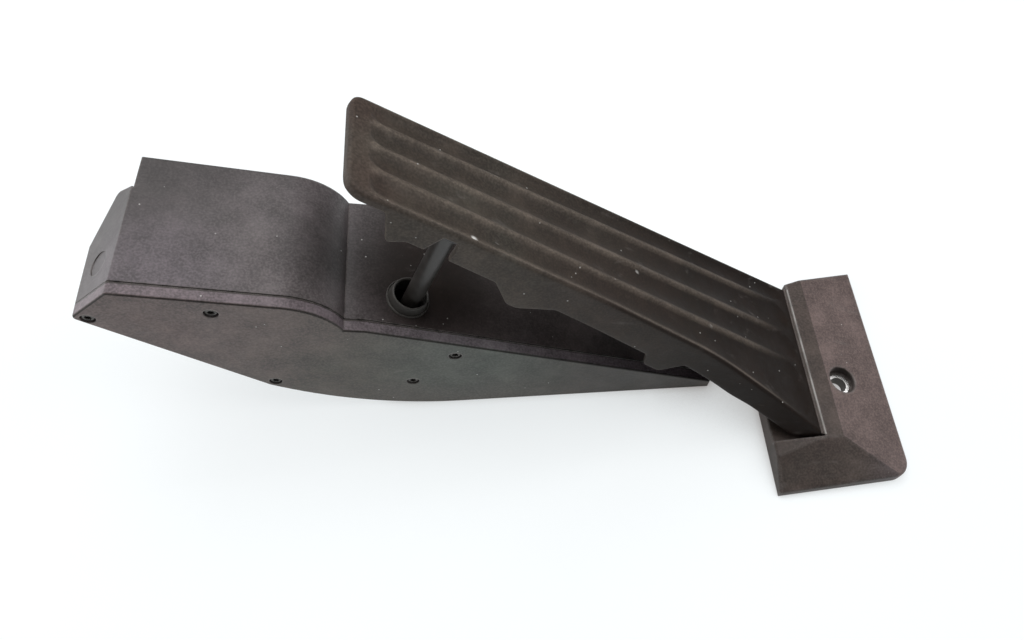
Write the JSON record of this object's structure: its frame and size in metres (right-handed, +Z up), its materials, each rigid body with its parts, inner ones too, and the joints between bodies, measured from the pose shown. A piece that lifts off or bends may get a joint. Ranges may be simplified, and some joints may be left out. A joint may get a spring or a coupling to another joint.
{
  "type": "accelerator pedal",
  "caption": "Floor-hinged accelerator pedal: fluted tread on a bolted heel foot, with a push rod into a curved sensor housing with a screwed side cover.",
  "frame": {"origin": "axis of the floor bolt hole at the floor", "axes": "+X along the module towards the heel, +Y to the side away from the screwed cover, +Z up"},
  "size_m": [0.3, 0.1054, 0.141],
  "materials": {
    "housing_plastic": "satin moulded",
    "cover_plastic": "satin moulded, scuffed",
    "tread_plastic": "fine grained",
    "inner_plastic": "plain moulded",
    "rubber": "matt",
    "rod_black": "smooth satin",
    "steel": "bright",
    "screw_steel": "blackened",
    "bronze": "plain",
    "magnet": "plain",
    "board_green": "lacquered"
  },
  "bodies": {
    "housing": {"main_housing": "housing_plastic", "side_cover": "cover_plastic", "cover_seal": "rubber", "cover_screws": "screw_steel", "rod_collar": "rubber", "axle_pin": "steel", "friction_washer": "bronze", "spring_seat": "inner_plastic", "return_spring_outer": "steel", "return_spring_inner": "steel", "stop_pad": "rubber", "circuit_board": "board_green", "board_screws": "steel", "sensor_chips": "inner_plastic", "connector_socket": "inner_plastic", "connector_pins": "bronze", "film_hinge": "tread_plastic", "heel_foot": "tread_plastic", "bolt_sleeve": "steel"},
    "pedal": {"pedal_tread": "tread_plastic", "ball_socket": "tread_plastic"},
    "rod": {"push_rod": "rod_black"},
    "lever": {"sensor_lever": "inner_plastic", "hub_bush_near": "bronze", "hub_bush_far": "bronze", "sensor_magnet": "magnet"}
  },
  "joints": [
    {"name": "pedal_hinge", "type": "hinge", "parent": "housing", "child": "pedal", "pos_m": [-0.015, 0.0095, 0.0122], "axis": [0, -1, 0], "range_deg": [0, 14], "stiffness_Nm_per_rad": 14, "springref_deg": -9.4},
    {"name": "rod_swing", "type": "hinge", "parent": "pedal", "child": "rod", "pos_m": [-0.15363, 0.0215, 0.10507], "axis": [0, -1, 0], "range_deg": [-6, 0]},
    {"name": "lever_turn", "type": "hinge", "parent": "housing", "child": "lever", "pos_m": [-0.229, 0.033, 0.046], "axis": [0, 1, 0], "range_deg": [0, 44.5], "deforming": ["return_spring_outer", "return_spring_inner"]}
  ],
  "couplings": [
    {"joint": "rod_swing", "follows": "pedal_hinge", "ratio": -0.4},
    {"joint": "lever_turn", "follows": "pedal_hinge", "ratio": 3.1071}
  ]
}
